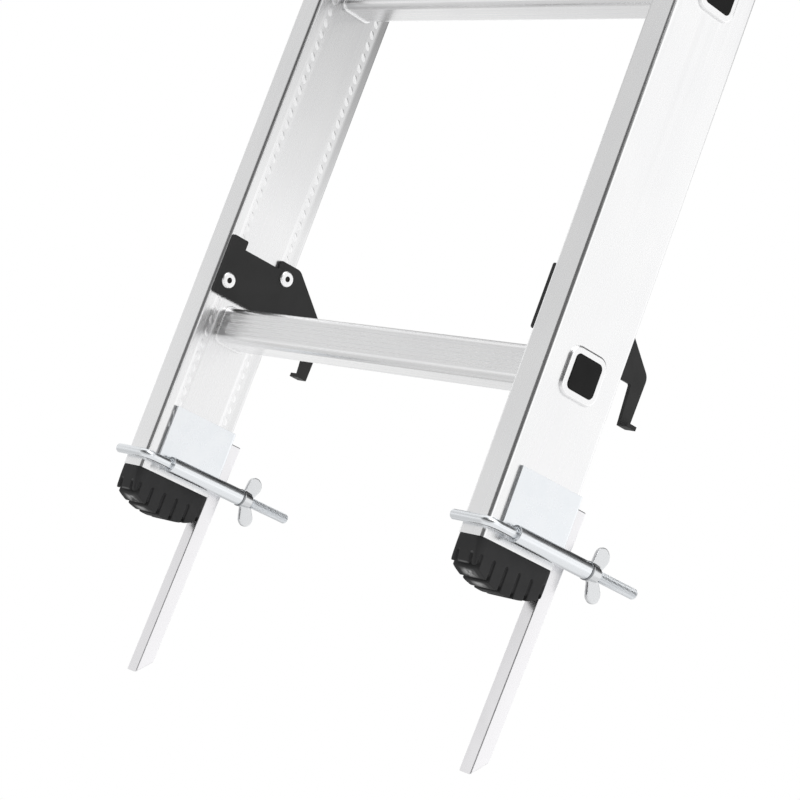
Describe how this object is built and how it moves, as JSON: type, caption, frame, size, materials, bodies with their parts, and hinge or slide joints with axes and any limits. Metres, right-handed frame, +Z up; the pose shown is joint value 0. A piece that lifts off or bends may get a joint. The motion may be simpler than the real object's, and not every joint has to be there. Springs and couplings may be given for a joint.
{
  "type": "ladder foot",
  "caption": "Lower end of an aluminium ladder with ribbed rubber feet, black rung hooks and a ground spike clamped to each stile by a hook bolt and wing nut.",
  "frame": {"origin": "midway between the two sawn stile ends, at half the stile's depth", "axes": "+X along the rungs, +Y from the climbing side to the back, +Z up the stiles"},
  "size_m": [0.4263, 0.1478, 0.5973],
  "materials": {
    "mill_aluminium": "satin, extruded",
    "zinc_plated_steel": "bright zinc plate",
    "black_powder_coat": "matt powder coat",
    "rivet_aluminium": "bright",
    "black_plastic": "moulded, satin",
    "black_rubber": "moulded, matt"
  },
  "bodies": {
    "ladder": {"left_stile": "mill_aluminium", "left_foot": "black_rubber", "left_rung_hook": "black_powder_coat", "left_hook_rivets": "rivet_aluminium", "left_upper_rung_plug": "black_plastic", "left_lower_rung_plug": "black_plastic", "right_stile": "mill_aluminium", "right_foot": "black_rubber", "right_rung_hook": "black_powder_coat", "right_hook_rivets": "rivet_aluminium", "right_upper_rung_plug": "black_plastic", "right_lower_rung_plug": "black_plastic", "upper_rung": "mill_aluminium", "lower_rung": "mill_aluminium"},
    "left_clamp": {"left_clamp_plate": "zinc_plated_steel", "left_spike": "zinc_plated_steel", "left_clamp_tube": "zinc_plated_steel"},
    "left_washer": {"left_washer": "zinc_plated_steel"},
    "left_hook_bolt": {"left_hook_bolt": "zinc_plated_steel"},
    "left_wing_nut": {"left_wing_nut": "zinc_plated_steel"},
    "right_clamp": {"right_clamp_plate": "zinc_plated_steel", "right_spike": "zinc_plated_steel", "right_clamp_tube": "zinc_plated_steel"},
    "right_washer": {"right_washer": "zinc_plated_steel"},
    "right_hook_bolt": {"right_hook_bolt": "zinc_plated_steel"},
    "right_wing_nut": {"right_wing_nut": "zinc_plated_steel"}
  },
  "joints": [
    {"name": "left_clamp_slide", "type": "slide", "parent": "ladder", "child": "left_clamp", "axis": [0, 0, 1], "range_m": [-0.006, 0.05]},
    {"name": "left_bolt_swing", "type": "hinge", "parent": "left_clamp", "child": "left_washer", "pos_m": [-0.17295, 0.0573, -0.4452], "axis": [0, 1, 0], "range_deg": [0, 180]},
    {"name": "left_bolt_draw", "type": "slide", "parent": "left_washer", "child": "left_hook_bolt", "axis": [0, -1, 0], "range_m": [0, 0.04]},
    {"name": "left_nut_turn", "type": "hinge", "parent": "left_clamp", "child": "left_wing_nut", "pos_m": [-0.17295, 0.0573, -0.4452], "axis": [0, 1, 0], "range_deg": [0, 11520]},
    {"name": "right_clamp_slide", "type": "slide", "parent": "ladder", "child": "right_clamp", "axis": [0, 0, 1], "range_m": [-0.006, 0.05]},
    {"name": "right_bolt_swing", "type": "hinge", "parent": "right_clamp", "child": "right_washer", "pos_m": [0.21055, 0.0573, -0.4452], "axis": [0, 1, 0], "range_deg": [0, 180]},
    {"name": "right_bolt_draw", "type": "slide", "parent": "right_washer", "child": "right_hook_bolt", "axis": [0, -1, 0], "range_m": [0, 0.04]},
    {"name": "right_nut_turn", "type": "hinge", "parent": "right_clamp", "child": "right_wing_nut", "pos_m": [0.21055, 0.0573, -0.4452], "axis": [0, 1, 0], "range_deg": [0, 11520]}
  ],
  "couplings": [
    {"joint": "left_nut_turn", "follows": "left_bolt_draw", "rad_per_m": 5026.5},
    {"joint": "right_nut_turn", "follows": "right_bolt_draw", "rad_per_m": 5026.5}
  ]
}
